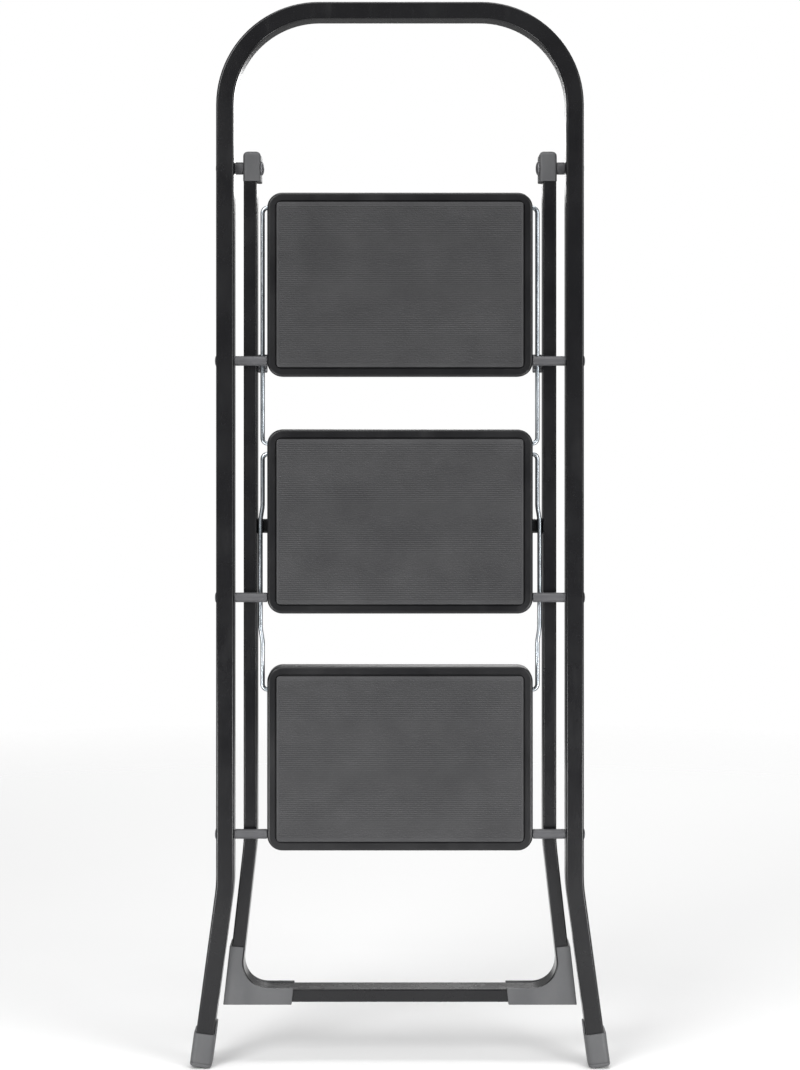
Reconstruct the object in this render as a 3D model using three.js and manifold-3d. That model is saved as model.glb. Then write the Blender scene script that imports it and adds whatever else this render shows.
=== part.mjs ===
// Folding three-step stool with a tall hoop handle, folded flat and standing on its front feet.
// Millimetres. +Z is up, the front faces -Y, X runs from side to side, and z = 0 is the floor.
import * as THREE from 'three';
import { mergeVertices } from 'three/addons/utils/BufferGeometryUtils.js';
import Module from 'manifold-3d';

const wasm = await Module();
wasm.setup();

// ---------------------------------------------------------------- driving dimensions

const CLEAR = 0.3; // air left between pieces that touch
const RUNNING = 0.3; // air round an axle or a wire in its hole
const SHEET = 1.2; // wall of every tube and of the step pans
const PAST = 1; // how far a cutting tool runs past the face it cuts, and one solid into the next
const SIDES = [[-1, 'left'], [1, 'right']];

// degrees turned by one straight piece of a bend
const FRONT_STEP = 15;
const REAR_STEP = 16;
const WIRE_STEP = 23;

// front frame: one tube bent into a hoop at the top and splayed at the feet
const FRONT_Y = -7.75; // middle of the tube, which puts the folded stool's middle at y = 0
const FRONT = { width: 20, depth: 30, corner: 2.5, halfSpan: 197.5, top: 1193, hoopRadius: 106 };
const FRONT_SPLAY = { height: 206, angle: THREE.MathUtils.degToRad(7.75), radius: 150 };

// rear frame: one tube bent into a U, hung from the front frame
const REAR_Y = FRONT_Y + 15.5;
const REAR = { width: 15, depth: 30, corner: 2, halfSpan: 170, top: 1001.7, bar: 78, barRadius: 37.5 };
const REAR_SPLAY = { height: 252, angle: THREE.MathUtils.degToRad(6.4), radius: 150 };
const CROSSBAR = { z: 610, height: 16, depth: 12, corner: 3, y: REAR_Y + 3 };

// frame pivot
const PIVOT = { y: FRONT_Y + 6, z: 1017, rod: 8, spacer: 14, outerHead: 12, innerHead: 16 };
const HEAD = 1.5; // thickness of a rivet head on the outside of a leg
const CAP_HEAD = 3.5; // thickness of a pivot's head on the inside of a cap

// steps
const STEP_NAMES = ['bottom', 'middle', 'top'];
const STEP_Y = FRONT_Y - 6; // axis of the step axles
const STEP_Z = [263, 530.5, 798];
const STEP = { width: 300, length: 208, noseBelow: 18, corner: 17, rim: 24, faceAhead: 7 };
const MAT = { margin: 11, thickness: 2.5, corner: 3 };
const AXLE = { rod: 8, spacer: 11, head: 12 };

// wire links: each joins one step to the step below it
const WIRE = { diameter: 5, x: 156, back: 9.5, inside: 5, bend: 6, jog: 2.4 };
const UPPER_REACH = 174; // hole above the step axle, on the top and middle steps
const LOWER_REACH = 162; // hole above the step axle, on the middle and bottom steps
const JOG = { from: 480, to: 633, rise: 15, bend: 40 };

// feet, caps and catches
const BOOT = { wall: 2, height: 38, sole: 5, tongue: 50, corner: 5 };
const CORNER_FOOT = { wall: 2, top: 134, armTop: 86.9, armEnd: 123, armSlant: 2, bend: 28.6, backOff: 1.6 };
const CAP = { innerX: 158, outerX: 178, below: 15, above: 19, wall: 2, corner: 7, stub: 25 };
const CATCH = { innerX: 151.8, low: 785, high: 806, front: -2, back: 13, lean: 10.5, tail: 5 };

// ---------------------------------------------------------------- materials

const frameBlack = new THREE.MeshStandardMaterial({ color: 0x17171a, roughness: 0.28, metalness: 0.2 });
const panBlack = new THREE.MeshStandardMaterial({ color: 0x19191b, roughness: 0.34, metalness: 0.2 });
const matRubber = new THREE.MeshStandardMaterial({ color: 0x38383b, roughness: 0.85, metalness: 0 });
const greyPlastic = new THREE.MeshStandardMaterial({ color: 0x646569, roughness: 0.6, metalness: 0 });
const spacerGrey = new THREE.MeshStandardMaterial({ color: 0x55565a, roughness: 0.55, metalness: 0 });
const zinc = new THREE.MeshStandardMaterial({ color: 0x9aa2ab, roughness: 0.35, metalness: 0.9 });

const stool = new THREE.Group();

// ---------------------------------------------------------------- helpers

// A closed mesh as a manifold-3d solid.
function solidOf(geometry) {
  const bare = geometry.clone();
  bare.deleteAttribute('normal');
  bare.deleteAttribute('uv');
  const welded = mergeVertices(bare, 1e-3);
  return new wasm.Manifold(new wasm.Mesh({
    numProp: 3,
    vertProperties: welded.attributes.position.array,
    triVerts: new Uint32Array(welded.index.array),
  }));
}

// A manifold-3d solid as three.js geometry.
function geometryOf(solid) {
  const mesh = solid.getMesh();
  const geometry = new THREE.BufferGeometry();
  geometry.setAttribute('position', new THREE.BufferAttribute(mesh.vertProperties, 3));
  geometry.setIndex(new THREE.BufferAttribute(mesh.triVerts, 1));
  geometry.computeVertexNormals();
  return geometry;
}

function cut(geometry, ...tools) {
  let solid = solidOf(geometry);
  for (const tool of tools) solid = solid.subtract(solidOf(tool));
  return geometryOf(solid);
}

function join(...pieces) {
  let solid = solidOf(pieces[0]);
  for (const piece of pieces.slice(1)) solid = solid.add(solidOf(piece));
  return geometryOf(solid);
}

function addPiece(name, geometry, material) {
  const mesh = new THREE.Mesh(geometry, material);
  mesh.name = name;
  stool.add(mesh);
}

// A rectangle with round corners, centred on the origin.
function roundedRectangle(width, height, radius) {
  const shape = new THREE.Shape();
  const x = width / 2 - radius;
  const y = height / 2 - radius;
  shape.absarc(x, y, radius, 0, Math.PI / 2);
  shape.absarc(-x, y, radius, Math.PI / 2, Math.PI);
  shape.absarc(-x, -y, radius, Math.PI, 1.5 * Math.PI);
  shape.absarc(x, -y, radius, 1.5 * Math.PI, 2 * Math.PI);
  shape.closePath();
  return shape;
}

function disc(diameter) {
  const shape = new THREE.Shape();
  shape.absarc(0, 0, diameter / 2, 0, 2 * Math.PI);
  return shape;
}

// A straight bar of a section drawn in the YZ plane, lying along X between two stations.
function barAlongX(shape, fromX, toX, y, z, curveSegments = 8) {
  const options = { depth: toX - fromX, bevelEnabled: false, curveSegments };
  const bar = new THREE.ExtrudeGeometry(shape, options);
  bar.rotateZ(Math.PI / 2).rotateY(Math.PI / 2);
  return bar.translate(fromX, y, z);
}

function pinAlongX(diameter, fromX, toX, y, z) {
  return barAlongX(disc(diameter), Math.min(fromX, toX), Math.max(fromX, toX), y, z);
}

function sleeveAlongX(outer, bore, fromX, toX, y, z) {
  const ring = disc(outer);
  ring.holes.push(disc(bore));
  return barAlongX(ring, Math.min(fromX, toX), Math.max(fromX, toX), y, z);
}

// An outline drawn in the XZ plane, as seen from the front, and carried back from y.
function plateAlongY(shape, y, depth, curveSegments = 6) {
  const plate = new THREE.ExtrudeGeometry(shape, { depth, bevelEnabled: false, curveSegments });
  return plate.rotateX(Math.PI / 2).translate(0, y + depth, 0);
}

// A path whose stations and directions are given, so that a sweep has a section at each one.
class BentPath extends THREE.Curve {
  constructor(points, tangents) {
    super();
    this.points = points;
    this.tangents = tangents;
  }

  station(t) {
    return Math.round(t * (this.points.length - 1));
  }

  getPoint(t, target = new THREE.Vector3()) {
    return target.copy(this.points[this.station(t)]);
  }

  getTangent(t, target = new THREE.Vector3()) {
    return target.copy(this.tangents[this.station(t)]);
  }

  getPointAt(u, target) {
    return this.getPoint(u, target);
  }

  getTangentAt(u, target) {
    return this.getTangent(u, target);
  }
}

// A path through corners, each rounded to its own radius. endTangent squares both ends to it.
function bentPath(corners, radii, stepDegrees, endTangent = null) {
  const heading = (i) => corners[i + 1].clone().sub(corners[i]).normalize();
  const points = [corners[0].clone()];
  const tangents = [endTangent ? endTangent.clone() : heading(0)];
  for (let i = 1; i < corners.length - 1; i += 1) {
    const before = heading(i - 1);
    const after = heading(i);
    const turn = before.angleTo(after);
    const axis = before.clone().cross(after).normalize();
    const radius = radii[i - 1];
    const start = corners[i].clone().addScaledVector(before, -radius * Math.tan(turn / 2));
    const centre = start.clone().addScaledVector(axis.clone().cross(before), radius);
    const steps = Math.max(2, Math.ceil(THREE.MathUtils.radToDeg(turn) / stepDegrees));
    for (let k = 0; k <= steps; k += 1) {
      const angle = (turn * k) / steps;
      points.push(start.clone().sub(centre).applyAxisAngle(axis, angle).add(centre));
      tangents.push(before.clone().applyAxisAngle(axis, angle));
    }
  }
  points.push(corners[corners.length - 1].clone());
  const last = heading(corners.length - 2);
  tangents.push(endTangent ? endTangent.clone().negate() : last);
  return new BentPath(points, tangents);
}

// A section swept along a path. On a path in an XZ plane the section's x lies along Y.
function sweep(shape, path, curveSegments) {
  const options = { steps: path.points.length - 1, extrudePath: path, curveSegments };
  return new THREE.ExtrudeGeometry(shape, options);
}

function tubeSection({ width, depth, corner }) {
  const shape = roundedRectangle(depth, width, corner);
  shape.holes.push(roundedRectangle(depth - 2 * SHEET, width - 2 * SHEET, corner - SHEET));
  return shape;
}

// The half-distance from the middle of the stool to the middle of a leg, at a height.
function legX(frame, splay, z) {
  return frame.halfSpan + Math.max(0, splay.height - z) * Math.tan(splay.angle);
}

const frontLegX = (z) => legX(FRONT, FRONT_SPLAY, z);
const rearLegX = (z) => legX(REAR, REAR_SPLAY, z);

// ---------------------------------------------------------------- front frame

const frontOuter = FRONT.halfSpan + FRONT.width / 2;
const frontInner = FRONT.halfSpan - FRONT.width / 2;

function frontPath(bottom) {
  const at = (x, z) => new THREE.Vector3(x, FRONT_Y, z);
  const corners = [
    at(-frontLegX(bottom), bottom),
    at(-FRONT.halfSpan, FRONT_SPLAY.height),
    at(-FRONT.halfSpan, FRONT.top),
    at(FRONT.halfSpan, FRONT.top),
    at(FRONT.halfSpan, FRONT_SPLAY.height),
    at(frontLegX(bottom), bottom),
  ];
  const radii = [FRONT_SPLAY.radius, FRONT.hoopRadius, FRONT.hoopRadius, FRONT_SPLAY.radius];
  return bentPath(corners, radii, FRONT_STEP, new THREE.Vector3(0, 0, 1));
}

function makeFrontTube() {
  const tube = sweep(tubeSection(FRONT), frontPath(BOOT.sole), 1);
  const through = frontOuter + PAST;
  const holes = STEP_Z.map((z) => pinAlongX(AXLE.rod + 2 * RUNNING, -through, through, STEP_Y, z));
  holes.push(pinAlongX(PIVOT.rod + 2 * RUNNING, -through, through, PIVOT.y, PIVOT.z));
  addPiece('front_frame_tube', cut(tube, ...holes), frameBlack);
}

// A boot of the leg's own slant, flat on the floor, with a pocket for the tube's end.
function makeFrontBoot(side, label) {
  const up = new THREE.Vector3(0, 0, 1);
  const slanted = (width, depth, corner, low, high) => {
    const ends = [low, high].map((z) => new THREE.Vector3(side * frontLegX(z), FRONT_Y, z));
    return sweep(roundedRectangle(depth, width, corner), new BentPath(ends, [up, up]), 2);
  };
  const grow = 2 * (BOOT.wall + CLEAR);
  const outside = slanted(FRONT.width + grow, FRONT.depth + grow, BOOT.corner, 0, BOOT.tongue);
  const grown = (extra) => [FRONT.width + extra, FRONT.depth + extra, FRONT.corner + extra / 2];
  const pocket = slanted(...grown(2 * CLEAR), BOOT.sole - CLEAR, BOOT.tongue + PAST);
  const reach = 2 * FRONT.depth;
  const tongueFace = frontLegX(BOOT.tongue) - FRONT.width / 2;
  const above = new THREE.BoxGeometry(reach, reach, BOOT.tongue);
  above.translate(side * (tongueFace + reach / 2), FRONT_Y, BOOT.height + BOOT.tongue / 2);
  addPiece(`front_boot_${label}`, cut(outside, pocket, above), greyPlastic);
}

// A rod through both front legs, with a rivet head outside each.
function makeStepAxle(name, z) {
  const legFace = frontOuter + CLEAR;
  const rod = pinAlongX(AXLE.rod, -legFace - PAST, legFace + PAST, STEP_Y, z);
  const heads = SIDES.map(([side]) => (
    pinAlongX(AXLE.head, side * legFace, side * (legFace + HEAD), STEP_Y, z)
  ));
  addPiece(`step_axle_${name}`, join(rod, ...heads), zinc);
}

function makeStepSpacer(name, z, side, label) {
  const from = side * (STEP.width / 2 + CLEAR);
  const to = side * (frontInner - CLEAR);
  const sleeve = sleeveAlongX(AXLE.spacer, AXLE.rod + 2 * RUNNING, from, to, STEP_Y, z);
  addPiece(`step_spacer_${name}_${label}`, sleeve, spacerGrey);
}

function makePivotRivet(side, label) {
  const { y, z } = PIVOT;
  const outerFace = frontOuter + CLEAR;
  const innerFace = CAP.innerX - CLEAR;
  const rod = pinAlongX(PIVOT.rod, side * (innerFace - PAST), side * (outerFace + PAST), y, z);
  const outerHead = pinAlongX(PIVOT.outerHead, side * outerFace, side * (outerFace + HEAD), y, z);
  const innerHead = pinAlongX(PIVOT.innerHead, side * (innerFace - CAP_HEAD), side * innerFace, y, z);
  addPiece(`pivot_rivet_${label}`, join(rod, outerHead, innerHead), zinc);

  const from = side * (CAP.outerX + CLEAR);
  const to = side * (frontInner - CLEAR);
  const sleeve = sleeveAlongX(PIVOT.spacer, PIVOT.rod + 2 * RUNNING, from, to, y, z);
  addPiece(`pivot_spacer_${label}`, sleeve, spacerGrey);
}

// ---------------------------------------------------------------- rear frame

function rearPath() {
  const at = (x, z) => new THREE.Vector3(x, REAR_Y, z);
  const corners = [
    at(-REAR.halfSpan, REAR.top),
    at(-REAR.halfSpan, REAR_SPLAY.height),
    at(-rearLegX(REAR.bar), REAR.bar),
    at(rearLegX(REAR.bar), REAR.bar),
    at(REAR.halfSpan, REAR_SPLAY.height),
    at(REAR.halfSpan, REAR.top),
  ];
  const radii = [REAR_SPLAY.radius, REAR.barRadius, REAR.barRadius, REAR_SPLAY.radius];
  return bentPath(corners, radii, REAR_STEP);
}

function makeRearTube() {
  addPiece('rear_frame_tube', sweep(tubeSection(REAR), rearPath(), 1), frameBlack);
}

function makeCrossbar() {
  const end = REAR.halfSpan - REAR.width / 2 - CLEAR;
  const section = tubeSection({ ...CROSSBAR, width: CROSSBAR.height });
  const bar = barAlongX(section, -end, end, CROSSBAR.y, CROSSBAR.z, 1);
  addPiece('rear_crossbar', bar, frameBlack);
}

// A plug in the open top of a rear leg, with a head that carries the frame pivot.
function makeRearCap(side, label) {
  const depth = REAR.depth + 2 * CAP.wall;
  const height = CAP.below + CAP.above;
  const head = barAlongX(
    roundedRectangle(depth, height, CAP.corner),
    side < 0 ? -CAP.outerX : CAP.innerX,
    side < 0 ? -CAP.innerX : CAP.outerX,
    REAR_Y,
    PIVOT.z + (CAP.above - CAP.below) / 2,
    2,
  );
  const inset = SHEET + CLEAR;
  const plug = roundedRectangle(REAR.width - 2 * inset, REAR.depth - 2 * inset, REAR.corner - inset);
  const plugHeight = CAP.stub + CAP.below;
  const stub = new THREE.ExtrudeGeometry(plug, { depth: plugHeight, bevelEnabled: false, curveSegments: 1 });
  stub.translate(side * REAR.halfSpan, REAR_Y, PIVOT.z - CAP.below - CAP.stub);
  const ends = [CAP.innerX - PAST, CAP.outerX + PAST].map((x) => side * x);
  const hole = pinAlongX(PIVOT.rod + 2 * RUNNING, ...ends, PIVOT.y, PIVOT.z);
  addPiece(`rear_cap_${label}`, cut(join(head, stub), hole), greyPlastic);
}

// A moulded shoe round the bend where a rear leg turns into the bottom bar. It has a front plate, a
// back plate and an outer wall, and is open on the inner side.
function makeCornerFoot(side, label) {
  const { angle } = REAR_SPLAY;
  const { top, armTop, armEnd, armSlant, bend, backOff } = CORNER_FOOT;
  const wall = CORNER_FOOT.wall + CLEAR;
  const half = REAR.width / 2 + wall;
  const floor = REAR.bar - half;
  const across = half / Math.cos(angle);
  const inside = REAR.width / 2 - backOff;
  const topDrop = half * Math.sin(angle);
  const bendZ = armTop + bend;
  const bendX = rearLegX(bendZ) - (bend + inside) / Math.cos(angle);
  const around = side > 0 ? [angle, -Math.PI / 2] : [Math.PI - angle, 1.5 * Math.PI];

  const outline = new THREE.Shape();
  outline.moveTo(side * (rearLegX(floor) + across), floor);
  outline.lineTo(side * (rearLegX(top + topDrop) + across), top + topDrop);
  outline.lineTo(side * (rearLegX(top - topDrop) - inside / Math.cos(angle)), top - topDrop);
  outline.absarc(side * bendX, bendZ, bend, ...around, side > 0);
  outline.lineTo(side * (armEnd - armSlant), armTop);
  outline.lineTo(side * armEnd, floor);
  outline.closePath();

  // everything on the inner side of the tube's middle line
  const tubeBendZ = REAR.bar + REAR.barRadius;
  const tubeBendX = rearLegX(tubeBendZ) - REAR.barRadius / Math.cos(angle);
  const clearTop = top + half;
  const clearEnd = side * (armEnd - half);
  const opening = new THREE.Shape();
  opening.moveTo(side * rearLegX(clearTop), clearTop);
  opening.absarc(side * tubeBendX, tubeBendZ, REAR.barRadius, ...around, side > 0);
  opening.lineTo(clearEnd, REAR.bar);
  opening.lineTo(clearEnd, clearTop);
  opening.closePath();

  const depth = REAR.depth + 2 * wall;
  const boreDepth = REAR.depth + 2 * CLEAR;
  const shoe = plateAlongY(outline, REAR_Y - depth / 2, depth, 4);
  const open = plateAlongY(opening, REAR_Y - boreDepth / 2, boreDepth, 4);
  const section = roundedRectangle(boreDepth, REAR.width + 2 * CLEAR, REAR.corner);
  const bore = sweep(section, rearPath(), 1);
  addPiece(`rear_corner_foot_${label}`, cut(shoe, bore, open), greyPlastic);
}

// A tooth on the inner face of a rear leg, close behind the upper link when the stool is open.
// Its front face leans back to stay clear of the link, which sweeps past it on the way.
function makeCatch(side, label) {
  const legFace = REAR.halfSpan - REAR.width / 2 - CLEAR;
  const { low, high, front, back, lean, tail } = CATCH;
  const profile = new THREE.Shape();
  profile.moveTo(front + lean, high);
  profile.lineTo(back, high);
  profile.lineTo(back, low + tail);
  profile.quadraticCurveTo(back, low, back - tail, low);
  profile.lineTo(front + tail, low);
  profile.quadraticCurveTo(front, low, front + lean / 4, low + tail);
  profile.closePath();
  const fromX = side < 0 ? -legFace : CATCH.innerX;
  const toX = side < 0 ? -CATCH.innerX : legFace;
  addPiece(`lock_catch_${label}`, barAlongX(profile, fromX, toX, REAR_Y, 0, 4), zinc);
}

// ---------------------------------------------------------------- steps and links

function wireHole(stepZ, reach) {
  const through = STEP.width / 2 + PAST;
  const diameter = WIRE.diameter + 2 * RUNNING;
  return pinAlongX(diameter, -through, through, STEP_Y + WIRE.back, stepZ + reach);
}

// A shallow tray of sheet steel, open at the back, hung on its axle near its lower edge.
function makeStep(name, z, reaches) {
  const faceY = STEP_Y - STEP.faceAhead;
  const middleZ = z - STEP.noseBelow + STEP.length / 2;
  const outside = plateAlongY(roundedRectangle(STEP.width, STEP.length, STEP.corner), faceY, STEP.rim, 2);
  const pocket = plateAlongY(
    roundedRectangle(STEP.width - 2 * SHEET, STEP.length - 2 * SHEET, STEP.corner - SHEET),
    faceY + SHEET,
    STEP.rim,
    2,
  );
  outside.translate(0, 0, middleZ);
  pocket.translate(0, 0, middleZ);
  const through = STEP.width / 2 + PAST;
  const holes = reaches.map((reach) => wireHole(z, reach));
  holes.push(pinAlongX(AXLE.rod + 2 * RUNNING, -through, through, STEP_Y, z));
  addPiece(`step_pan_${name}`, cut(outside, pocket, ...holes), panBlack);

  const matShape = roundedRectangle(
    STEP.width - 2 * MAT.margin,
    STEP.length - 2 * MAT.margin,
    MAT.corner,
  );
  const mat = plateAlongY(matShape, faceY - CLEAR - MAT.thickness, MAT.thickness, 2);
  addPiece(`step_mat_${name}`, mat.translate(0, 0, middleZ), matRubber);
}

// A wire with both ends bent inwards through the sides of two steps.
function makeLink(name, side, label, topZ, bottomZ, jog) {
  const at = (x, z) => new THREE.Vector3(side * x, STEP_Y + WIRE.back, z);
  const end = STEP.width / 2 - WIRE.inside;
  const corners = [at(end, topZ), at(WIRE.x, topZ)];
  const radii = [WIRE.bend];
  if (jog) {
    corners.push(
      at(WIRE.x, JOG.to),
      at(WIRE.x + WIRE.jog, JOG.to - JOG.rise),
      at(WIRE.x + WIRE.jog, JOG.from + JOG.rise),
      at(WIRE.x, JOG.from),
    );
    radii.push(JOG.bend, JOG.bend, JOG.bend, JOG.bend);
  }
  corners.push(at(WIRE.x, bottomZ), at(end, bottomZ));
  radii.push(WIRE.bend);
  const path = bentPath(corners, radii, WIRE_STEP);
  addPiece(`${name}_link_${label}`, sweep(disc(WIRE.diameter), path, 4), zinc);
}

// ---------------------------------------------------------------- assembly

makeFrontTube();
makeRearTube();
makeCrossbar();
for (const [side, label] of SIDES) {
  makeFrontBoot(side, label);
  makePivotRivet(side, label);
  makeRearCap(side, label);
  makeCornerFoot(side, label);
  makeCatch(side, label);
}

const [bottomZ, middleZ, topZ] = STEP_Z;
const STEP_REACHES = [[LOWER_REACH], [LOWER_REACH, UPPER_REACH], [UPPER_REACH]];
STEP_NAMES.forEach((name, index) => {
  makeStepAxle(name, STEP_Z[index]);
  for (const [side, label] of SIDES) makeStepSpacer(name, STEP_Z[index], side, label);
  makeStep(name, STEP_Z[index], STEP_REACHES[index]);
});

for (const [side, label] of SIDES) {
  makeLink('upper', side, label, topZ + UPPER_REACH, middleZ + UPPER_REACH, false);
  makeLink('lower', side, label, middleZ + LOWER_REACH, bottomZ + LOWER_REACH, true);
}

export default stool;
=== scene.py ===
import math

import bmesh
import bpy
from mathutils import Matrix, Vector


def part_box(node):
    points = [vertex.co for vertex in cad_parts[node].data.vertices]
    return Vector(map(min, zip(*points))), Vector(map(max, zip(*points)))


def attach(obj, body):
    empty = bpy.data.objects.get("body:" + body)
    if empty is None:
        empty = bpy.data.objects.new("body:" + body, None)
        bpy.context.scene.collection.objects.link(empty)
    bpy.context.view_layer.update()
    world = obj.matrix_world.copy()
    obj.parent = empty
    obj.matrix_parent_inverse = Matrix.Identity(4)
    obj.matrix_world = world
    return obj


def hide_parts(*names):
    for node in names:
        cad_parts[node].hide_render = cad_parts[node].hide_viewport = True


# The looks of a folding three-step stool, folded flat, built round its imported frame.
# Metres. +Z is up, the front faces -Y, and X runs from side to side.
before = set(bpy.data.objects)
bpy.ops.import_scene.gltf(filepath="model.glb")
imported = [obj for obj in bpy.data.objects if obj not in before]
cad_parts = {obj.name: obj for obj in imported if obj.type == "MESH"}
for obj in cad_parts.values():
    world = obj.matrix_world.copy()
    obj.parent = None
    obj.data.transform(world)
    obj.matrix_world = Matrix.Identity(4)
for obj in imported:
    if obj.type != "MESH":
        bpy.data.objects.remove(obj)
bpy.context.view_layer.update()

# ---------------------------------------------------------------- sizes

AIR = 0.0003  # gap that the frame leaves between pieces that touch
SHEET = 0.0012  # wall of the step pans
SIDES = ((-1, "left"), (1, "right"))
STEPS = ("bottom", "middle", "top")

FRONT_WIDTH = 0.020
FRONT_DEPTH = 0.030
FRONT_CORNER = 0.0025
HOOP_BEND = 0.106
FRONT_SPLAY_Z = 0.206
REAR_WIDTH = 0.015
REAR_DEPTH = 0.030
REAR_CORNER = 0.002
REAR_SPLAY_Z = 0.252
REAR_SPLAY = math.radians(6.4)
BAR_BEND = 0.0375
SPLAY_BEND = 0.150

PAN_CORNER = 0.017
PAN_CORNER_STEPS = 10
PAN_EDGE = 0.003  # radius of the folded edge between the face and the rim
MAT_CORNER = 0.003
MAT_GROOVE = 0.0013  # width of the dark line left round a mat
RECESS = 0.0009  # how far the face is pressed in under a mat
RIB_PITCH = 0.0023
RIB_RADIUS = 0.0007
RIB_MARGIN = 0.0026

BEND_STEP = math.radians(4)  # one station of a swept tube
SHARP = math.radians(35)  # edges sharper than this stay crisp


def box_size(node):
    low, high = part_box(node)
    return high - low


def box_middle(node):
    low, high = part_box(node)
    return (low + high) / 2


# ---------------------------------------------------------------- mesh helpers

def stand(name, data):
    """An object for a mesh, a light or a camera, in the scene."""
    item = bpy.data.objects.new(name, data)
    bpy.context.scene.collection.objects.link(item)
    return item


def worked_out(carrier):
    """The plain mesh of an object with its modifiers applied. The object itself goes."""
    graph = bpy.context.evaluated_depsgraph_get()
    made = bpy.data.meshes.new_from_object(carrier.evaluated_get(graph))
    bpy.data.objects.remove(carrier)
    return made


def polished(mesh):
    """Smooth faces with crisp edges, and flats that stay flat next to their rounded edges."""
    mesh.shade_smooth()
    mesh.set_sharp_from_angle(angle=SHARP)
    carrier = stand("carrier", mesh)
    carrier.modifiers.new("flats", "WEIGHTED_NORMAL").keep_sharp = True
    return worked_out(carrier)


def mesh_of(body):
    bmesh.ops.recalc_face_normals(body, faces=body.faces)
    mesh = bpy.data.meshes.new("shape")
    body.to_mesh(mesh)
    body.free()
    return mesh


def loft(rings):
    """A closed body through rings of equal count, with its two ends filled."""
    body = bmesh.new()
    loops = [[body.verts.new(point) for point in ring] for ring in rings]
    for below, above in zip(loops, loops[1:]):
        for here in range(len(below)):
            there = (here + 1) % len(below)
            body.faces.new((below[here], below[there], above[there], above[here]))
    body.faces.new(loops[0])
    body.faces.new(loops[-1])
    return mesh_of(body)


def prism(outline, thickness, bevel, segments=3):
    """A flat outline given thickness along a vector, with every hard edge rounded."""
    body = bmesh.new()
    face = body.faces.new([body.verts.new(point) for point in outline])
    grown = bmesh.ops.extrude_face_region(body, geom=[face])
    moved = [item for item in grown["geom"] if isinstance(item, bmesh.types.BMVert)]
    bmesh.ops.translate(body, verts=moved, vec=thickness)
    bmesh.ops.recalc_face_normals(body, faces=body.faces)
    if bevel:
        hard = [edge for edge in body.edges if edge.calc_face_angle(0) > SHARP]
        bmesh.ops.bevel(body, geom=hard, offset=bevel, segments=segments, profile=0.5, affect="EDGES")
    return mesh_of(body)


def carved(mesh, tool):
    """A body with the space of a second body taken out of it."""
    carrier = stand("carrier", mesh)
    cutter = stand("cutter", tool)
    cut = carrier.modifiers.new("cut", "BOOLEAN")
    cut.object = cutter
    cut.solver = "EXACT"
    made = worked_out(carrier)
    bpy.data.objects.remove(cutter)
    return made


def turned(profile, sides=40):
    """A solid turned about X through (x, radius) stations, between a point on the axis at each end."""
    body = bmesh.new()
    first = body.verts.new((profile[0][0], 0, 0))
    last = body.verts.new((profile[-1][0], 0, 0))
    angles = [2 * math.pi * step / sides for step in range(sides)]
    loops = [
        [body.verts.new((x, radius * math.cos(angle), radius * math.sin(angle))) for angle in angles]
        for x, radius in profile[1:-1]
    ]
    for here in range(sides):
        there = (here + 1) % sides
        body.faces.new((first, loops[0][here], loops[0][there]))
        body.faces.new((last, loops[-1][there], loops[-1][here]))
        for inner, outer in zip(loops, loops[1:]):
            body.faces.new((inner[here], inner[there], outer[there], outer[here]))
    return mesh_of(body)


def rounded_outline(width, height, corner, steps=8):
    """(u, v) points round a rectangle with round corners."""
    points = []
    for quarter, (side_u, side_v) in enumerate(((1, 1), (-1, 1), (-1, -1), (1, -1))):
        for step in range(steps + 1):
            angle = math.pi / 2 * (quarter + step / steps)
            u = side_u * (width / 2 - corner) + corner * math.cos(angle)
            v = side_v * (height / 2 - corner) + corner * math.sin(angle)
            points.append((u, v))
    return points


def quarter_round(radius, steps=5):
    """(inset, rise) along a rounded edge, from the flat face to the side."""
    turns = [math.pi / 2 * step / steps for step in range(steps + 1)]
    return [(radius * (1 - math.sin(turn)), radius * (1 - math.cos(turn))) for turn in turns]


# ---------------------------------------------------------------- node trees

def add_node(tree, kind, inputs=(), **settings):
    node = tree.nodes.new(kind)
    for key, value in settings.items():
        setattr(node, key, value)
    for label, value in inputs:
        if isinstance(value, bpy.types.NodeSocket):
            tree.links.new(value, node.inputs[label])
        else:
            node.inputs[label].default_value = value
    return node


def new_tree(name, inputs):
    """A geometry tree with its named inputs, and the node that gives them."""
    tree = bpy.data.node_groups.new(name, "GeometryNodeTree")
    tree.is_modifier = True
    tree.interface.new_socket("Geometry", in_out="INPUT", socket_type="NodeSocketGeometry")
    for label, kind in (*inputs, ("Material", "NodeSocketMaterial")):
        tree.interface.new_socket(label, in_out="INPUT", socket_type=kind)
    tree.interface.new_socket("Geometry", in_out="OUTPUT", socket_type="NodeSocketGeometry")
    return tree, tree.nodes.new("NodeGroupInput").outputs


def close_tree(tree, given, shape):
    """Ends a tree in Realize Instances and Set Material."""
    real = add_node(tree, "GeometryNodeRealizeInstances", [("Geometry", shape)])
    painted = add_node(tree, "GeometryNodeSetMaterial", [
        ("Geometry", real.outputs[0]), ("Material", given["Material"])])
    add_node(tree, "NodeGroupOutput", [("Geometry", painted.outputs[0])])
    return tree


def bent_path(tree, given):
    """The polyline that comes in, as a curve with each corner bent to its own radius."""
    line = add_node(tree, "GeometryNodeMeshToCurve", [("Mesh", given["Geometry"])])
    bend = add_node(tree, "GeometryNodeInputNamedAttribute", [("Name", "bend")], data_type="FLOAT")
    steps = add_node(tree, "GeometryNodeInputNamedAttribute", [("Name", "steps")], data_type="INT")
    bent = add_node(tree, "GeometryNodeFilletCurve", [
        ("Curve", line.outputs[0]),
        ("Count", steps.outputs["Attribute"]),
        ("Radius", bend.outputs["Attribute"]),
    ], mode="POLY")
    return bent.outputs[0]


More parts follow.
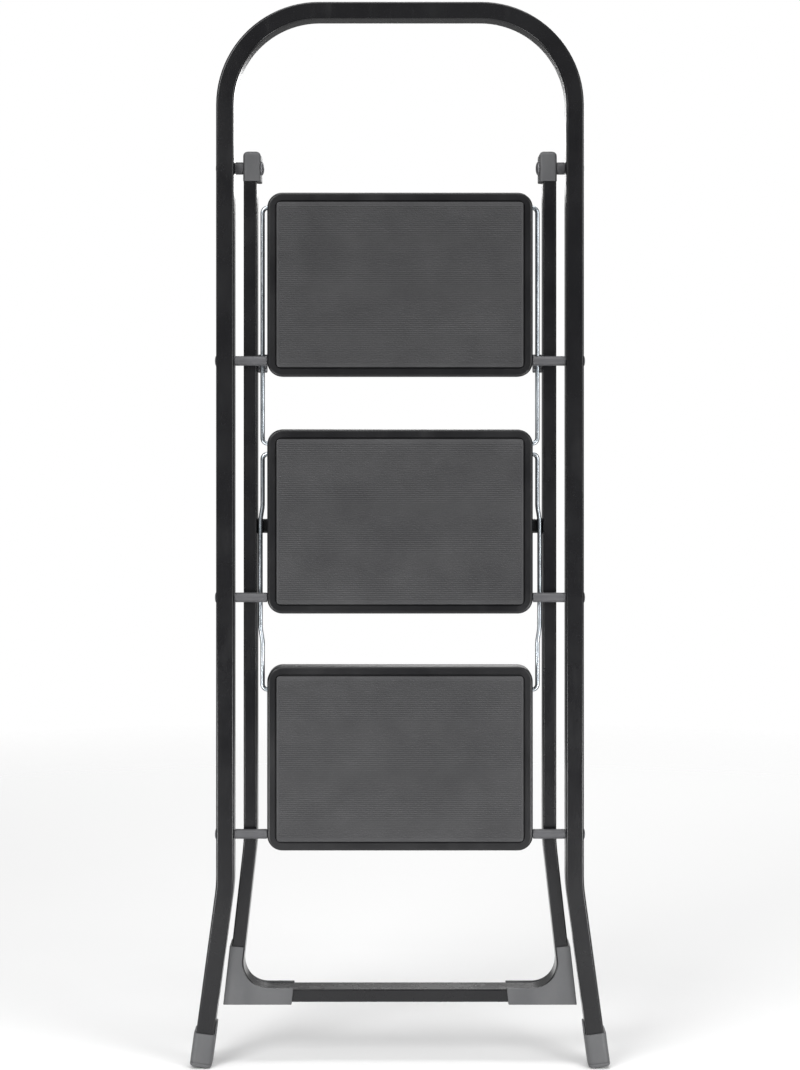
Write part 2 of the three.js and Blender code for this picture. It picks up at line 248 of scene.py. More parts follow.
def make_bar_tree():
    """Sweeps a rectangle with round corners along a bent path. Its depth stays along Y."""
    tree, given = new_tree("bent_bar", [
        ("Width", "NodeSocketFloat"), ("Depth", "NodeSocketFloat"), ("Corner", "NodeSocketFloat")])
    level = add_node(tree, "GeometryNodeSetCurveNormal", [
        ("Curve", bent_path(tree, given)), ("Normal", (0, 1, 0))], mode="FREE")
    section = add_node(tree, "GeometryNodeCurvePrimitiveQuadrilateral", [
        ("Width", given["Depth"]), ("Height", given["Width"])], mode="RECTANGLE")
    rounded = add_node(tree, "GeometryNodeFilletCurve", [
        ("Curve", section.outputs[0]), ("Count", 6), ("Radius", given["Corner"])], mode="POLY")
    bar = add_node(tree, "GeometryNodeCurveToMesh", [
        ("Curve", level.outputs[0]), ("Profile Curve", rounded.outputs[0]), ("Fill Caps", True)])
    return close_tree(tree, given, bar.outputs[0])


def make_wire_tree():
    """Sweeps a round section along a bent path."""
    tree, given = new_tree("bent_wire", [("Diameter", "NodeSocketFloat")])
    half = add_node(tree, "ShaderNodeMath", [(0, given["Diameter"]), (1, 0.5)], operation="MULTIPLY")
    section = add_node(tree, "GeometryNodeCurvePrimitiveCircle", [
        ("Resolution", 20), ("Radius", half.outputs[0])], mode="RADIUS")
    wire = add_node(tree, "GeometryNodeCurveToMesh", [
        ("Curve", bent_path(tree, given)), ("Profile Curve", section.outputs[0]), ("Fill Caps", True)])
    return close_tree(tree, given, wire.outputs[0])


def make_copies_tree():
    """Sets a copy of one part on every point, turned as the point says."""
    tree, given = new_tree("part_on_points", [("Part", "NodeSocketObject")])
    part = add_node(tree, "GeometryNodeObjectInfo", [("Object", given["Part"])])
    turn = add_node(tree, "GeometryNodeInputNamedAttribute", [("Name", "turn")], data_type="FLOAT_VECTOR")
    copies = add_node(tree, "GeometryNodeInstanceOnPoints", [
        ("Points", given["Geometry"]),
        ("Instance", part.outputs["Geometry"]),
        ("Rotation", turn.outputs["Attribute"]),
    ])
    return close_tree(tree, given, copies.outputs[0])


def make_rib_tree():
    """Lays evenly spaced round-backed ribs on a mat, across the whole slab that comes in."""
    tree, given = new_tree("mat_ribs", [
        ("Count", "NodeSocketInt"), ("Pitch", "NodeSocketVector"), ("First", "NodeSocketVector"),
        ("Half length", "NodeSocketVector"), ("Rib radius", "NodeSocketFloat")])
    back = add_node(tree, "ShaderNodeVectorMath", [
        (0, given["Half length"]), ("Scale", -1.0)], operation="SCALE")
    line = add_node(tree, "GeometryNodeCurvePrimitiveLine", [
        ("Start", back.outputs[0]), ("End", given["Half length"])])
    section = add_node(tree, "GeometryNodeCurvePrimitiveCircle", [
        ("Resolution", 8), ("Radius", given["Rib radius"])], mode="RADIUS")
    rib = add_node(tree, "GeometryNodeCurveToMesh", [
        ("Curve", line.outputs[0]), ("Profile Curve", section.outputs[0]), ("Fill Caps", True)])
    row = add_node(tree, "GeometryNodeMeshLine", [
        ("Count", given["Count"]), ("Start Location", given["First"]), ("Offset", given["Pitch"])])
    ribs = add_node(tree, "GeometryNodeInstanceOnPoints", [
        ("Points", row.outputs[0]), ("Instance", rib.outputs[0])])
    whole = add_node(tree, "GeometryNodeJoinGeometry", [("Geometry", given["Geometry"])])
    tree.links.new(ribs.outputs[0], whole.inputs["Geometry"])
    return close_tree(tree, given, whole.outputs[0])


def grow(tree, mesh, **values):
    """The plain mesh that a tree makes from a mesh and its named inputs."""
    carrier = stand("carrier", mesh)
    modifier = carrier.modifiers.new(tree.name, "NODES")
    modifier.node_group = tree
    for item in tree.interface.items_tree:
        key = item.name.lower().replace(" ", "_")
        if item.in_out == "INPUT" and key in values:
            modifier[item.identifier] = values[key]
    return worked_out(carrier)


def polyline(corners, closed=False):
    """A bare line through (point, bend radius) corners, with the stations that each bend needs."""
    points = [Vector(point) for point, _ in corners]
    count = len(points)
    edges = [(here, (here + 1) % count) for here in range(count if closed else count - 1)]
    mesh = bpy.data.meshes.new("line")
    mesh.from_pydata(points, edges, [])
    bend = mesh.attributes.new("bend", "FLOAT", "POINT")
    steps = mesh.attributes.new("steps", "INT", "POINT")
    for here, (_, radius) in enumerate(corners):
        before = points[here] - points[here - 1]
        after = points[(here + 1) % count] - points[here]
        bend.data[here].value = radius
        steps.data[here].value = max(2, math.ceil(before.angle(after) / BEND_STEP))
    return mesh


def copies(part_mesh, spots, material):
    """One mesh with a copy of a part at each (place, turn about Z)."""
    part = stand("part", part_mesh)
    mesh = bpy.data.meshes.new("spots")
    mesh.from_pydata([place for place, _ in spots], [], [])
    turn = mesh.attributes.new("turn", "FLOAT_VECTOR", "POINT")
    for here, (_, angle) in enumerate(spots):
        turn.data[here].vector = (0, 0, angle)
    made = grow(COPIES_TREE, mesh, part=part, material=material)
    bpy.data.objects.remove(part)
    return made


BAR_TREE = make_bar_tree()
WIRE_TREE = make_wire_tree()
COPIES_TREE = make_copies_tree()
RIB_TREE = make_rib_tree()

# ---------------------------------------------------------------- materials

def start_material(name):
    """A material, its shader, and the coordinates that its patterns read."""
    material = bpy.data.materials.new(name)
    material.use_nodes = True
    tree = material.node_tree
    shader = tree.nodes["Principled BSDF"]
    place = tree.nodes.new("ShaderNodeTexCoord").outputs["Object"]
    return material, tree, shader, place


def noise(tree, place, scale, detail=3.0, stretch=(1, 1, 1)):
    spread = add_node(tree, "ShaderNodeMapping", [("Vector", place), ("Scale", stretch)])
    return add_node(tree, "ShaderNodeTexNoise", [
        ("Vector", spread.outputs[0]), ("Scale", scale), ("Detail", detail)]).outputs[0]


def between(tree, factor, low, high, start=0.3, end=0.7):
    """A value that runs from low to high as a pattern runs from start to end."""
    node = add_node(tree, "ShaderNodeMapRange", [
        ("Value", factor), ("From Min", start), ("From Max", end), ("To Min", low), ("To Max", high)])
    return node.outputs[0]


def shades(tree, factor, dark, light, start=0.3, end=0.7):
    """A colour that runs from dark to light as a pattern runs from start to end."""
    ramp = add_node(tree, "ShaderNodeValToRGB", [("Fac", factor)])
    ramp.color_ramp.elements[0].position = start
    ramp.color_ramp.elements[0].color = (*dark, 1)
    ramp.color_ramp.elements[1].position = end
    ramp.color_ramp.elements[1].color = (*light, 1)
    return ramp.outputs[0]


def bumps(tree, shader, *layers):
    """Stacks bumps, each a (pattern, strength, height), onto the shader's normal."""
    normal = None
    for pattern, strength, height in layers:
        inputs = [("Height", pattern), ("Strength", strength), ("Distance", height)]
        if normal is not None:
            inputs.append(("Normal", normal))
        normal = add_node(tree, "ShaderNodeBump", inputs).outputs[0]
    tree.links.new(normal, shader.inputs["Normal"])


def make_paint(name, dark, light, smooth, rough):
    """Black stoved paint: a faint orange peel, cloudy gloss and a few rubbed places."""
    material, tree, shader, place = start_material(name)
    clouds = noise(tree, place, 14, 4)
    rubs = noise(tree, place, 55, 6, stretch=(1, 1, 0.25))
    peel = noise(tree, place, 420, 2)
    grit = noise(tree, place, 1500, 2)
    tree.links.new(shades(tree, clouds, dark, light), shader.inputs["Base Color"])
    gloss = between(tree, clouds, smooth, rough)
    rubbed = between(tree, rubs, 0, 0.16, 0.56, 0.78)
    worn = add_node(tree, "ShaderNodeMath", [(0, gloss), (1, rubbed)], operation="ADD")
    tree.links.new(worn.outputs[0], shader.inputs["Roughness"])
    bumps(tree, shader, (peel, 0.05, 0.0002), (grit, 0.05, 0.0001))
    shader.inputs["Specular IOR Level"].default_value = 0.36
    shader.inputs["Coat Weight"].default_value = 0.10
    shader.inputs["Coat Roughness"].default_value = 0.12
    return material


def make_rubber(name, dark, light):
    """Matt mat rubber: fine grain, with slightly paler patches where it is dusty."""
    material, tree, shader, place = start_material(name)
    patches = noise(tree, place, 22, 5)
    grain = noise(tree, place, 1700, 3)
    specks = noise(tree, place, 600, 4)
    tree.links.new(shades(tree, patches, dark, light), shader.inputs["Base Color"])
    tree.links.new(between(tree, specks, 0.62, 0.86), shader.inputs["Roughness"])
    bumps(tree, shader, (specks, 0.25, 0.0002), (grain, 0.3, 0.0001))
    shader.inputs["Specular IOR Level"].default_value = 0.35
    shader.inputs["Sheen Weight"].default_value = 0.12
    shader.inputs["Sheen Roughness"].default_value = 0.5
    return material


def make_plastic(name, dark, light, smooth, rough):
    """Moulded plastic: a fine spark-eroded grain and faint flow marks."""
    material, tree, shader, place = start_material(name)
    flow = noise(tree, place, 38, 5, stretch=(1, 1, 0.4))
    grain = noise(tree, place, 1300, 2)
    soft = noise(tree, place, 260, 3)
    tree.links.new(shades(tree, flow, dark, light), shader.inputs["Base Color"])
    tree.links.new(between(tree, soft, smooth, rough), shader.inputs["Roughness"])
    bumps(tree, shader, (grain, 0.22, 0.00015), (soft, 0.1, 0.0003))
    shader.inputs["Specular IOR Level"].default_value = 0.45
    return material


def make_metal(name, dark, light, smooth, rough, stretch):
    """Bright plated steel: drawn lines, cloudy plating and small dull spots."""
    material, tree, shader, place = start_material(name)
    clouds = noise(tree, place, 60, 4)
    lines = noise(tree, place, 900, 2, stretch=stretch)
    tree.links.new(shades(tree, clouds, dark, light), shader.inputs["Base Color"])
    tree.links.new(between(tree, lines, smooth, rough), shader.inputs["Roughness"])
    bumps(tree, shader, (lines, 0.2, 0.0001))
    shader.inputs["Metallic"].default_value = 1.0
    return material


FINISHES = {
    "frame_paint": make_paint(
        "frame_paint", (0.004, 0.004, 0.005), (0.008, 0.008, 0.009), 0.20, 0.32),
    "step_paint": make_paint(
        "step_paint", (0.005, 0.005, 0.006), (0.010, 0.010, 0.011), 0.28, 0.40),
    "mat_rubber": make_rubber(
        "mat_rubber", (0.036, 0.036, 0.038), (0.050, 0.050, 0.052)),
    "grey_plastic": make_plastic(
        "grey_plastic", (0.070, 0.071, 0.074), (0.090, 0.091, 0.094), 0.42, 0.58),
    "spacer_plastic": make_plastic(
        "spacer_plastic", (0.062, 0.062, 0.066), (0.082, 0.082, 0.087), 0.38, 0.52),
    "zinc_wire": make_metal(
        "zinc_wire", (0.44, 0.49, 0.53), (0.62, 0.66, 0.70), 0.22, 0.40, (1, 1, 0.05)),
    "rivet_steel": make_metal(
        "rivet_steel", (0.17, 0.17, 0.18), (0.25, 0.25, 0.26), 0.42, 0.60, (0.05, 1, 1)),
}


def place_piece(name, mesh, slot, body, *nodes):
    """Stands a finished mesh in the scene on its body, in place of the frame's nodes."""
    mesh = polished(mesh)
    mesh.name = name
    if not mesh.materials:
        mesh.materials.append(FINISHES[slot])
    piece = stand(name, mesh)
    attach(piece, body)
    if nodes:
        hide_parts(*nodes)
    return piece


# ---------------------------------------------------------------- front frame

FRONT_Y = box_middle("front_frame_tube").y
FRONT_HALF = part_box("pivot_spacer_right")[1].x + AIR + FRONT_WIDTH / 2
FRONT_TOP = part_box("front_frame_tube")[1].z - FRONT_WIDTH / 2
FOOT_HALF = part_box("front_frame_tube")[1].x - FRONT_WIDTH / 2
FOOT_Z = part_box("front_frame_tube")[0].z
FRONT_SPLAY = math.atan((FOOT_HALF - FRONT_HALF) / (FRONT_SPLAY_Z - FOOT_Z))


def make_hoop_tube():
    corners = [((FOOT_HALF, FOOT_Z), 0), ((FRONT_HALF, FRONT_SPLAY_Z), SPLAY_BEND),
               ((FRONT_HALF, FRONT_TOP), HOOP_BEND)]
    right = [((x, FRONT_Y, z), bend) for (x, z), bend in corners]
    left = [((-x, FRONT_Y, z), bend) for (x, z), bend in reversed(corners)]
    tube = grow(BAR_TREE, polyline(right + left), width=FRONT_WIDTH, depth=FRONT_DEPTH,
                corner=FRONT_CORNER, material=FINISHES["frame_paint"])
    place_piece("hoop_tube", tube, "frame_paint", "front_frame", "front_frame_tube")


BOOT_WALL = 0.0023
BOOT_HEIGHT = 0.038
BOOT_CORNER = 0.006
BOOT_STATIONS = (  # (height up the leg, inset) from the sole to the inside of the top edge
    (0.0, 0.0030), (0.0004, 0.0014), (0.0012, 0.0005), (0.0024, 0.0),
    (0.0044, 0.0), (0.0047, 0.0006), (0.0057, 0.0006), (0.0060, 0.0),
    (BOOT_HEIGHT - 0.0010, 0.0), (BOOT_HEIGHT - 0.0003, 0.0003), (BOOT_HEIGHT, 0.0009),
    (BOOT_HEIGHT, BOOT_WALL - 0.0002), (BOOT_HEIGHT - 0.003, BOOT_WALL + 0.0005),
)
TONGUE_IN = 0.0011  # from the boot's inner face to the middle of the tongue
TONGUE_STATIONS = (  # (height up the leg, thickness, half its width)
    (BOOT_HEIGHT - 0.004, 0.0022, 0.0100), (BOOT_HEIGHT + 0.004, 0.0022, 0.0096),
    (BOOT_HEIGHT + 0.0100, 0.0020, 0.0084), (BOOT_HEIGHT + 0.0124, 0.0016, 0.0066),
    (BOOT_HEIGHT + 0.0132, 0.0008, 0.0046),
)


def on_leg(side, up, across, depth, lift):
    """A point in the slanted lower leg's own frame: up the leg, outwards, and back."""
    foot_x = FOOT_HALF + (FOOT_Z - lift) * math.tan(FRONT_SPLAY)
    x = foot_x - up * math.sin(FRONT_SPLAY) + across * math.cos(FRONT_SPLAY)
    z = lift + up * math.cos(FRONT_SPLAY) + across * math.sin(FRONT_SPLAY)
    return side * x, FRONT_Y + depth, z


def make_boot(side, label):
    width = FRONT_WIDTH + 2 * BOOT_WALL
    depth = FRONT_DEPTH + 2 * BOOT_WALL
    lift = width / 2 * math.sin(FRONT_SPLAY)  # stands the sole's inner edge on the floor
    rings = []
    for up, inset in BOOT_STATIONS:
        outline = rounded_outline(width - 2 * inset, depth - 2 * inset, BOOT_CORNER - inset)
        rings.append([on_leg(side, up, across, back, lift) for across, back in outline])
    place_piece(f"boot_shell_{label}", loft(rings), "grey_plastic", "front_frame", f"front_boot_{label}")
    rings = []
    for up, thick, half in TONGUE_STATIONS:
        outline = rounded_outline(thick, 2 * half, thick * 0.45, 3)
        middle = -width / 2 + TONGUE_IN
        rings.append([on_leg(side, up, middle + across, back, lift) for across, back in outline])
    place_piece(f"boot_tongue_{label}", loft(rings), "grey_plastic", "front_frame")


ROD_RADIUS = 0.004
OUTER_HEAD_RADIUS = 0.006
SLEEVE_EDGE = 0.0007


def dome(face, radius, height, steps=6):
    """(x, radius) stations over a domed head, from its rim on a face at x to its top."""
    turns = [math.pi / 2 * step / steps for step in range(steps)]
    rim = [(face, radius * 0.97)]
    cap = [(face + height * (0.15 + 0.85 * math.sin(t)), radius * math.cos(t)) for t in turns]
    return [*rim, *cap, (face + height, 0)]


def make_sleeves():
    """The grey sleeves on the step axles and on the frame pivots."""
    edge = SLEEVE_EDGE
    cut = edge * 0.3  # middle of the rounded edge
    for name, nodes in (
        ("step_sleeves", [f"step_spacer_{step}_{label}" for step in STEPS for _, label in SIDES]),
        ("pivot_sleeves", [f"pivot_spacer_{label}" for _, label in SIDES]),
    ):
        half = box_size(nodes[0]).x / 2
        radius = box_size(nodes[0]).z / 2
        left = [(-half, 0), (-half, radius - edge), (-half + cut, radius - cut), (-half + edge, radius)]
        right = [(-x, r) for x, r in reversed(left)]
        profile = [*left, (0, radius), *right]
        spots = [(box_middle(node), 0) for node in nodes]
        sleeves = copies(turned(profile), spots, FINISHES["spacer_plastic"])
        place_piece(name, sleeves, "spacer_plastic", "front_frame", *nodes)


def make_axles():
    nodes = [f"step_axle_{step}" for step in STEPS]
    half = box_size(nodes[0]).x / 2
    head = box_size(nodes[0]).z / 2
    face = FRONT_HALF + FRONT_WIDTH / 2
    right = [(face, ROD_RADIUS), *dome(face, head, half - face)]
    profile = [(-x, radius) for x, radius in reversed(right)] + right
    spots = [(box_middle(node), 0) for node in nodes]
    axles = copies(turned(profile), spots, FINISHES["rivet_steel"])
    place_piece("step_axle_rods", axles, "rivet_steel", "front_frame", *nodes)


def make_pivot_studs():
    """Rivets from the caps to the outside of the front legs. The inner heads are the large ones."""
    low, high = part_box("pivot_rivet_right")
    inner_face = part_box("rear_cap_right")[0].x
    outer_face = FRONT_HALF + FRONT_WIDTH / 2
    inner = [(2 * inner_face - x, radius) for x, radius in
             dome(inner_face, (high - low).z / 2, inner_face - low.x)]
    outer = dome(outer_face, OUTER_HEAD_RADIUS, high.x - outer_face)
    profile = [*reversed(inner), (inner_face, ROD_RADIUS), (outer_face, ROD_RADIUS), *outer]
    place = box_middle("pivot_rivet_right")
    spots = [((0, place.y, place.z), 0), ((0, place.y, place.z), math.pi)]
    studs = copies(turned(profile), spots, FINISHES["rivet_steel"])
    place_piece("pivot_studs", studs, "rivet_steel", "front_frame", "pivot_rivet_left", "pivot_rivet_right")


# ---------------------------------------------------------------- rear frame

REAR_Y = box_middle("rear_frame_tube").y
REAR_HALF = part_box("rear_crossbar")[1].x + AIR + REAR_WIDTH / 2
REAR_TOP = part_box("rear_frame_tube")[1].z
BAR_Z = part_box("rear_frame_tube")[0].z + REAR_WIDTH / 2


def rear_leg_x(z):
    """How far the middle of a rear leg is from the stool's middle, at a height."""
    return REAR_HALF + max(0, REAR_SPLAY_Z - z) * math.tan(REAR_SPLAY)


def make_rear_tube():
    corners = [((REAR_HALF, REAR_TOP), 0), ((REAR_HALF, REAR_SPLAY_Z), SPLAY_BEND),
               ((rear_leg_x(BAR_Z), BAR_Z), BAR_BEND)]
    right = [((x, REAR_Y, z), bend) for (x, z), bend in corners]
    left = [((-x, REAR_Y, z), bend) for (x, z), bend in reversed(corners)]
    tube = grow(BAR_TREE, polyline(right + left), width=REAR_WIDTH, depth=REAR_DEPTH,
                corner=REAR_CORNER, material=FINISHES["frame_paint"])
    place_piece("rear_u_tube", tube, "frame_paint", "rear_frame", "rear_frame_tube")


CROSSBAR_CORNER = 0.003
WELD_BEAD = 0.0022


def make_crossbar():
    """The bar between the rear legs, with a weld bead round each end."""
    middle, size = box_middle("rear_crossbar"), box_size("rear_crossbar")
    end = REAR_HALF - REAR_WIDTH / 2
    line = polyline([((x, middle.y, middle.z), 0) for x in (-end, 0, end)])
    bar = grow(BAR_TREE, line, width=size.z, depth=size.y, corner=CROSSBAR_CORNER,
               material=FINISHES["frame_paint"])
    place_piece("crossbar_tube", bar, "frame_paint", "rear_frame", "rear_crossbar")
    for side, label in SIDES:
        outline = rounded_outline(size.y, size.z, CROSSBAR_CORNER, 6)
        x = side * (end - WELD_BEAD / 3)
        ring = polyline([((x, middle.y + u, middle.z + v), 0) for u, v in outline], closed=True)
        weld = grow(WIRE_TREE, ring, diameter=WELD_BEAD, material=FINISHES["frame_paint"])
        place_piece(f"crossbar_weld_{label}", weld, "frame_paint", "rear_frame")


CAP_CORNER = 0.0035
CAP_LEAST_CORNER = 0.0012  # corner of the domed top
CAP_CROWN = 0.0055
CAP_FOOT = 0.0008  # rounding of the lower edge


def make_leg_cap(side, label):
    """A moulded cap, domed on top, with a small step where it meets the leg."""
    low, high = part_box(f"rear_cap_{label}")
    inner, outer = (-high.x, -low.x) if side < 0 else (low.x, high.x)
    width = outer - inner
    depth = high.y - low.y
    middle = Vector((side * (inner + outer) / 2, (low.y + high.y) / 2, 0))
    bottom = REAR_TOP + AIR
    shoulder = high.z - CAP_CROWN
    turns = [math.radians(angle) for angle in range(12, 90, 12)]
    stations = [(bottom, CAP_FOOT), (bottom + CAP_FOOT * 0.3, CAP_FOOT * 0.3),
                (bottom + CAP_FOOT, 0), (shoulder, 0)]
    stations += [(shoulder + CAP_CROWN * math.sin(t), CAP_CROWN * (1 - math.cos(t))) for t in turns]
    rings = []
    for z, inset in stations:
        corner = max(CAP_CORNER - inset / 2, CAP_LEAST_CORNER)
        outline = rounded_outline(width - 2 * inset, depth - 2 * inset, corner)
        rings.append([(middle.x + u, middle.y + v, z) for u, v in outline])
    place_piece(f"leg_cap_{label}", loft(rings), "grey_plastic", "rear_frame", f"rear_cap_{label}")


SHOE_TOP = 0.134
SHOE_ARM = 0.123  # where the arm along the bottom bar ends
SHOE_ARM_TOP = 0.0869
SHOE_SLANT = 0.002
SHOE_BEND = 0.0286
SHOE_BACK_OFF = 0.0016  # how far the plates stop short of the leg's inner side
SHOE_WALL = 0.0023
SHOE_EDGE = 0.0008


def arc(centre, radius, start, end, steps=20):
    angles = [start + (end - start) * step / steps for step in range(steps + 1)]
    return [(centre[0] + radius * math.cos(a), centre[1] + radius * math.sin(a)) for a in angles]


def shoe_outline():
    outside = (REAR_WIDTH / 2 + SHOE_WALL) / math.cos(REAR_SPLAY)
    inside = (REAR_WIDTH / 2 - SHOE_BACK_OFF) / math.cos(REAR_SPLAY)
    drop = REAR_WIDTH / 2 * math.sin(REAR_SPLAY)
    floor = BAR_Z - REAR_WIDTH / 2 - SHOE_WALL
    bend_z = SHOE_ARM_TOP + SHOE_BEND
    bend_x = rear_leg_x(bend_z) - SHOE_BEND / math.cos(REAR_SPLAY) - inside
    return [
        (rear_leg_x(floor) + outside, floor),
        (rear_leg_x(SHOE_TOP + drop) + outside, SHOE_TOP + drop),
        (rear_leg_x(SHOE_TOP - drop) - inside, SHOE_TOP - drop),
        *arc((bend_x, bend_z), SHOE_BEND, REAR_SPLAY, -math.pi / 2),
        (SHOE_ARM - SHOE_SLANT, SHOE_ARM_TOP),
        (SHOE_ARM, floor),
    ]


def shoe_opening():
    """Everything on the inner side of the tube's middle line."""
    over = SHOE_TOP + REAR_WIDTH
    short = SHOE_ARM - REAR_WIDTH
    bend_z = BAR_Z + BAR_BEND
    bend_x = rear_leg_x(bend_z) - BAR_BEND / math.cos(REAR_SPLAY)
    return [
        (rear_leg_x(over), over),
        *arc((bend_x, bend_z), BAR_BEND, REAR_SPLAY, -math.pi / 2),
        (short, BAR_Z),
        (short, over),
    ]


def through_rear_tube(outline, side, depth, bevel):
    """An outline in XZ, given depth on both sides of the rear tube's middle."""
    points = [(side * x, REAR_Y - depth / 2, z) for x, z in outline]
    return prism(points, Vector((0, depth, 0)), bevel)


def make_corner_shoe(side, label):
    """A shoe that clasps the bend from outside, below, before and behind, open on its inner side."""
    block = through_rear_tube(shoe_outline(), side, REAR_DEPTH + 2 * SHOE_WALL, SHOE_EDGE)
    space = through_rear_tube(shoe_opening(), side, REAR_DEPTH + 2 * AIR, 0)
    shoe = carved(block, space)
    place_piece(f"corner_shoe_{label}", shoe, "grey_plastic", "rear_frame", f"rear_corner_foot_{label}")


TOOTH_LEAN = 0.7  # share of the depth by which the top edge stands back
TOOTH_TAIL = 0.24  # radius of the round lower end, as a share of the height
TOOTH_EDGE = 0.0007


def make_catch(side, label):
    """A small steel tooth, welded inside the rear leg."""
    low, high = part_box(f"lock_catch_{label}")
    lean = (high.y - low.y) * TOOTH_LEAN
    tail = (high.z - low.z) * TOOTH_TAIL
    round_low = arc((high.y - tail, low.z + tail), tail, 0, -math.pi / 2, 6)
    round_front = arc((low.y + tail, low.z + tail), tail, -math.pi / 2, -math.pi, 6)
    profile = [(low.y + lean, high.z), (high.y, high.z), *round_low, *round_front]
    points = [(low.x, y, z) for y, z in profile]
    tooth = prism(points, Vector((high.x - low.x, 0, 0)), TOOTH_EDGE, 2)
    place_piece(f"catch_tooth_{label}", tooth, "rivet_steel", "rear_frame", f"lock_catch_{label}")


# ---------------------------------------------------------------- steps and links

def pan_stations(rim):
    """(inset, depth behind the face) from the recess floor, round the rim, to the inner face."""
    margin = MAT_MARGIN - MAT_GROOVE
    lip = SHEET / 2
    outside = [(margin, RECESS), (margin - 0.0003, RECESS * 0.5), (margin - 0.0009, 0)]
    outside += quarter_round(PAN_EDGE)
    turns = [math.pi * step / 6 for step in range(7)]
    lips = [(lip - lip * math.cos(turn), rim - lip + lip * math.sin(turn)) for turn in turns]
    inner = [(SHEET + inset, SHEET + rise) for inset, rise in reversed(quarter_round(PAN_EDGE - SHEET))]
    return [*outside, *lips, *inner, (margin, SHEET), (margin + 0.0006, SHEET + RECESS)]


MAT_MARGIN = (box_size("step_pan_top").x - box_size("step_mat_top").x) / 2


def make_pan(name):
    """A pan pressed from one sheet: a shallow recess for the mat, round edges and an open back."""
    low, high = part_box(f"step_pan_{name}")
    size, middle = high - low, (low + high) / 2
    rings = []
    for inset, depth in pan_stations(size.y):
        corner = max(PAN_CORNER - inset, MAT_CORNER)
        outline = rounded_outline(size.x - 2 * inset, size.z - 2 * inset, corner, PAN_CORNER_STEPS)
        rings.append([(middle.x + u, low.y + depth, middle.z + v) for u, v in outline])
    place_piece(f"pan_{name}", loft(rings), "step_paint", f"step_{name}", f"step_pan_{name}")


def make_mat(name):
    """A ribbed mat that sits in the pan's recess. The ribs run from side to side."""
    low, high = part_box(f"step_mat_{name}")
    size, middle = high - low, (low + high) / 2
    front = low.y + RIB_RADIUS
    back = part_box(f"step_pan_{name}")[0].y + RECESS
    rings = []
    for inset, y in ((0.0, back), (0.0, front + 0.0007), (0.0002, front + 0.0002), (0.0007, front)):
        outline = rounded_outline(size.x - 2 * inset, size.z - 2 * inset, MAT_CORNER - inset, 5)
        rings.append([(middle.x + u, y, middle.z + v) for u, v in outline])
    count = int((size.z - 2 * RIB_MARGIN) / RIB_PITCH)
    first = middle.z - (count - 1) * RIB_PITCH / 2
    mat = grow(RIB_TREE, loft(rings), count=count, pitch=(0, 0, RIB_PITCH), first=(middle.x, front, first),
               half_length=(size.x / 2 - RIB_MARGIN, 0, 0), rib_radius=RIB_RADIUS,
               material=FINISHES["mat_rubber"])
    place_piece(f"tread_mat_{name}", mat, "mat_rubber", f"step_{name}", f"step_mat_{name}")


WIRE = 0.005
WIRE_BEND = 0.006
JOG_BEND = 0.040
JOG = 0.0024  # how far the lower links step out round the middle sleeves
JOG_LOW, JOG_HIGH, JOG_RISE = 0.480, 0.633, 0.015


def make_link(name, side, label):
    node = f"{name}_link_{label}"
    low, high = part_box(node)
    inner, outer = (-high.x, -low.x) if side < 0 else (low.x, high.x)
    y = (low.y + high.y) / 2
    top, bottom = high.z - WIRE / 2, low.z + WIRE / 2
    jogged = name == "lower"
    x = outer - WIRE / 2 - (JOG if jogged else 0)
    corners = [((inner, top), 0), ((x, top), WIRE_BEND)]
    if jogged:
        corners += [((x, JOG_HIGH), JOG_BEND), ((x + JOG, JOG_HIGH - JOG_RISE), JOG_BEND),
                    ((x + JOG, JOG_LOW + JOG_RISE), JOG_BEND), ((x, JOG_LOW), JOG_BEND)]
    corners += [((x, bottom), WIRE_BEND), ((inner, bottom), 0)]
    line = polyline([((side * across, y, up), bend) for (across, up), bend in corners])
    wire = grow(WIRE_TREE, line, diameter=WIRE, material=FINISHES["zinc_wire"])
    place_piece(f"wire_{name}_{label}", wire, "zinc_wire", node, node)


# ---------------------------------------------------------------- floor, light and camera

def make_floor():
    """A pale floor that fades into the background a few metres out."""
    body = bmesh.new()
    bmesh.ops.create_circle(body, cap_ends=True, radius=6.0, segments=96)
    floor = stand("floor", mesh_of(body))
    material, tree, shader, place = start_material("floor_paint")
    shader.inputs["Base Color"].default_value = (0.86, 0.86, 0.86, 1)
    shader.inputs["Roughness"].default_value = 0.7
    shader.inputs["Specular IOR Level"].default_value = 0.15
    radius = add_node(tree, "ShaderNodeVectorMath", [(0, place)], operation="LENGTH").outputs["Value"]
    fade = between(tree, radius, 0, 1, 0.5, 2.6)
    clear = tree.nodes.new("ShaderNodeBsdfTransparent").outputs[0]
    mixed = add_node(tree, "ShaderNodeMixShader", [(0, fade), (1, shader.outputs[0]), (2, clear)])
    tree.links.new(mixed.outputs[0], tree.nodes["Material Output"].inputs["Surface"])
    floor.data.materials.append(material)


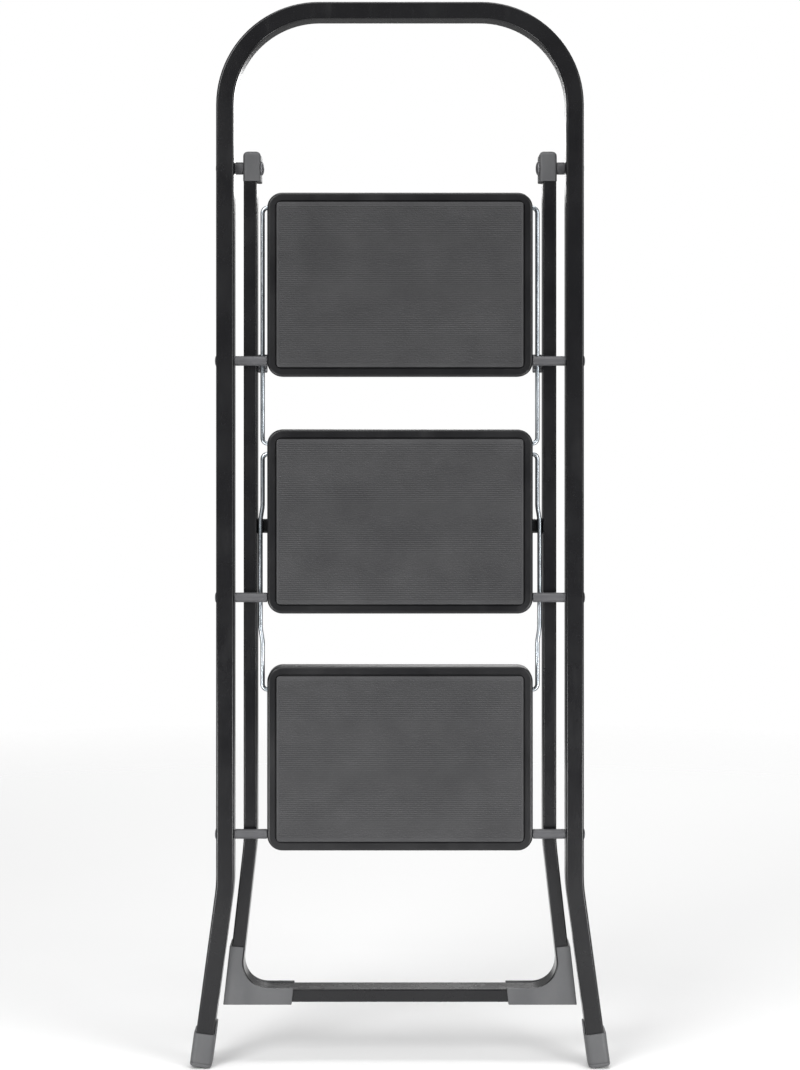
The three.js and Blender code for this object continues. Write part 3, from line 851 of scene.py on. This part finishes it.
def make_world():
    """White to the eye, and a dimmer room in the reflections, brightest overhead."""
    world = bpy.data.worlds.new("studio")
    bpy.context.scene.world = world
    world.use_nodes = True
    tree = world.node_tree
    seen = tree.nodes["Background"]
    seen.inputs["Color"].default_value = (1.0, 1.0, 1.0, 1)
    seen.inputs["Strength"].default_value = 1.0
    direction = tree.nodes.new("ShaderNodeTexCoord").outputs["Generated"]
    parts = add_node(tree, "ShaderNodeSeparateXYZ", [(0, direction)])
    height = between(tree, parts.outputs["Z"], 0.20, 0.62, -0.2, 0.9)
    room = add_node(tree, "ShaderNodeBackground", [("Strength", height)])
    path = tree.nodes.new("ShaderNodeLightPath")
    mixed = add_node(tree, "ShaderNodeMixShader", [
        (0, path.outputs["Is Camera Ray"]), (1, room.outputs[0]), (2, seen.outputs[0])])
    tree.links.new(mixed.outputs[0], tree.nodes["World Output"].inputs["Surface"])


def make_light(name, place, target, size, watts):
    data = bpy.data.lights.new(name, "AREA")
    data.shape = "RECTANGLE"
    data.size, data.size_y = size
    data.energy = watts
    light = stand(name, data)
    light.location = place
    light.rotation_euler = (Vector(target) - Vector(place)).to_track_quat("-Z", "Y").to_euler()


PICTURE_HEIGHT = 1.207  # what the picture spans at the front of the stool
PICTURE_MIDDLE = 0.6015
CAMERA_AWAY = 2.40
CAMERA_Z = 0.75
SENSOR = 36.0


def make_camera():
    """A level camera, square to the front, shifted down to frame the whole stool."""
    data = bpy.data.cameras.new("camera")
    data.sensor_width = SENSOR
    data.lens = SENSOR * CAMERA_AWAY / PICTURE_HEIGHT
    data.shift_y = (PICTURE_MIDDLE - CAMERA_Z) / PICTURE_HEIGHT
    camera = stand("camera", data)
    camera.location = (0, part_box("step_pan_top")[0].y - CAMERA_AWAY, CAMERA_Z)
    camera.rotation_euler = (math.pi / 2, 0, 0)
    bpy.context.scene.camera = camera


def make_stage():
    make_floor()
    make_world()
    make_light("key", (-1.5, -2.3, 2.1), (0, 0, 0.6), (1.3, 1.3), 44)
    make_light("fill", (1.9, -1.9, 1.2), (0, 0, 0.6), (1.1, 1.5), 24)
    for side, label in SIDES:
        make_light(f"low_{label}", (side * 0.70, -0.75, 0.15), (0, 0, 0.3), (0.3, 0.3), 4.5)
    make_light("overhead", (0, -0.4, 2.7), (0, 0, 0.6), (1.8, 0.7), 26)
    make_light("back", (0.6, 2.4, 1.8), (0, 0, 0.6), (1.6, 1.2), 26)
    bpy.context.scene.view_settings.view_transform = "Standard"
    make_camera()


# ---------------------------------------------------------------- assembly

make_stage()
make_hoop_tube()
make_sleeves()
make_axles()
make_pivot_studs()
make_rear_tube()
make_crossbar()
for side, label in SIDES:
    make_boot(side, label)
    make_leg_cap(side, label)
    make_corner_shoe(side, label)
    make_catch(side, label)
    make_link("upper", side, label)
    make_link("lower", side, label)
for name in STEPS:
    make_pan(name)
    make_mat(name)
